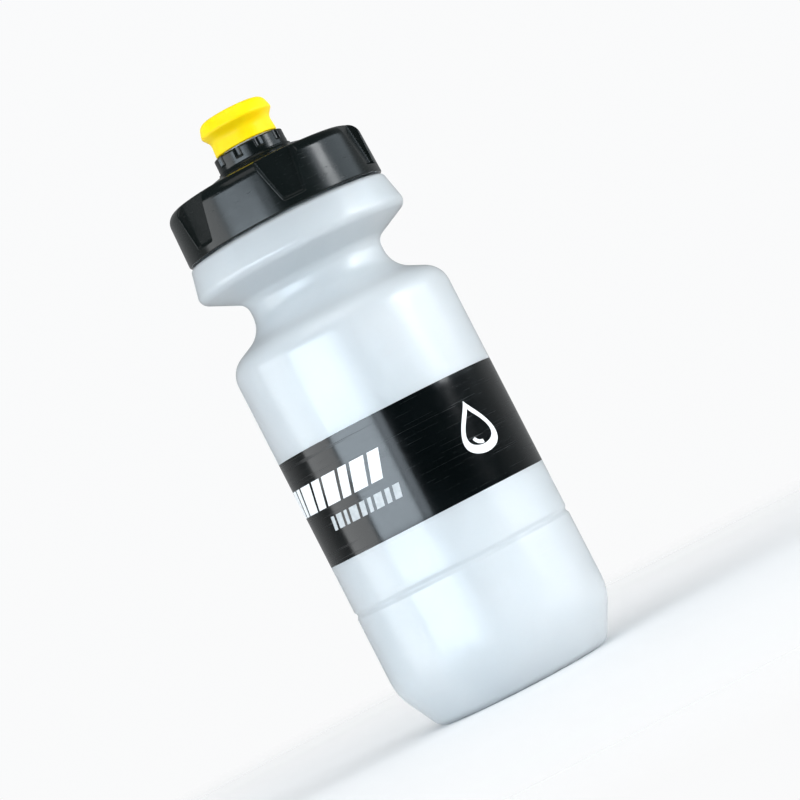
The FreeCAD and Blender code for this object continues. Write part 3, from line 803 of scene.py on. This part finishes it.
def make_floor():
    """A pale floor that turns clear with its distance from the bottle, so that it fades into the backdrop."""
    m = Material("floor", Roughness=0.6, Specular_IOR_Level=0.2)
    m.set("Base Color", m.ramp(m.noise(3.0, 2), (0.3, (0.84, 0.845, 0.85)), (0.7, (0.87, 0.875, 0.88))))
    distance = m.tree.nodes.new("ShaderNodeVectorMath")
    distance.operation = "LENGTH"
    m.link(m.place, distance.inputs[0])
    clear = m.tree.nodes.new("ShaderNodeBsdfTransparent")
    fade = m.tree.nodes.new("ShaderNodeMixShader")
    m.link(m.ramp(distance.outputs["Value"], (0.06, 0.0), (0.45, 1.0)), fade.inputs[0])
    m.link(m.shader.outputs[0], fade.inputs[1])
    m.link(clear.outputs[0], fade.inputs[2])
    m.link(fade.outputs[0], m.tree.nodes["Material Output"].inputs["Surface"])
    half = 1.0
    mesh = bpy.data.meshes.new("floor")
    corners = [(-half, -half, 0), (half, -half, 0), (half, half, 0), (-half, half, 0)]
    mesh.from_pydata(corners, [], [(0, 1, 2, 3)])
    mesh.materials.append(m.material)
    floor = bpy.data.objects.new("floor", mesh)
    bpy.context.scene.collection.objects.link(floor)


def make_lights():
    """Windows and strips at both sides, a weak light over the front, and fills that don't show in gloss."""
    white, cool, blue = (1, 1, 1), (0.96, 0.985, 1), (0.78, 0.90, 1)
    # Name, azimuth, elevation, distance, width, height, radiance, colour, and whether it shows in the gloss.
    for light in (
        ("left_window", -80, 3, 1.5, 0.95, 1.0, 2.6, cool, True),
        ("left_screen", -36, 3, 1.5, 1.3, 0.5, 7.4, blue, True),
        ("left_screen_edge", -7, 3, 1.5, 0.2, 0.5, 3.4, blue, True),
        ("right_window", 82, 17, 1.4, 1.4, 0.6, 1.7, blue, True),
        ("right_strip", 68, 15, 1.5, 0.28, 0.55, 8.5, cool, True),
        ("front_fill", -8, 58, 1.5, 1.6, 1.0, 0.9, white, True),
        ("top_fill", -10, 78, 1.6, 2.0, 2.0, 1.3, cool, False),
        ("left_fill", -50, 50, 1.5, 1.2, 1.0, 0.9, cool, False),
        ("low_fill", 40, 0, 1.5, 1.8, 0.4, 3.6, cool, False),
        ("right_fill", 85, 3, 1.5, 1.2, 0.8, 4.8, cool, False),
    ):
        area_light(*light)


def set_colours():
    """Colours go to the picture as they are, with no film look."""
    view = bpy.context.scene.view_settings
    view.view_transform = "Standard"
    view.look = "None"
    view.exposure = 0.0


# ---------------------------------------------------------------------------------------------- run

def main():
    make_camera()
    make_surround()
    make_floor()
    make_lights()
    set_colours()
    black = black_plastic()
    make_bottle(frosted_plastic())
    make_band(printed_film())
    make_print(ink("white_ink", (0.88, 0.89, 0.90), (0.80, 0.81, 0.82)),
               ink("grey_ink", (0.50, 0.52, 0.53), (0.42, 0.44, 0.45)))
    make_cap(black)
    make_collar(black)
    make_mouthpiece(yellow_rubber())
    clear = plain_moulding("stem_plastic", (0.78, 0.80, 0.81), (0.70, 0.72, 0.73), 0.28, 500, IOR=1.49)
    rubber = plain_moulding("silicone", (0.66, 0.68, 0.69), (0.58, 0.60, 0.61), 0.45, 900, IOR=1.43)
    ring = plain_moulding("seal_rubber", (0.030, 0.030, 0.032), (0.018, 0.018, 0.020), 0.4, 1200, IOR=1.5)
    finishes = {"nozzle_stem": clear, "valve_plug": clear, "cap_gasket": rubber, "nozzle_seal": ring}
    for node, material in finishes.items():
        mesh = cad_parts[node].data
        mesh.materials.clear()
        mesh.materials.append(material)


main()
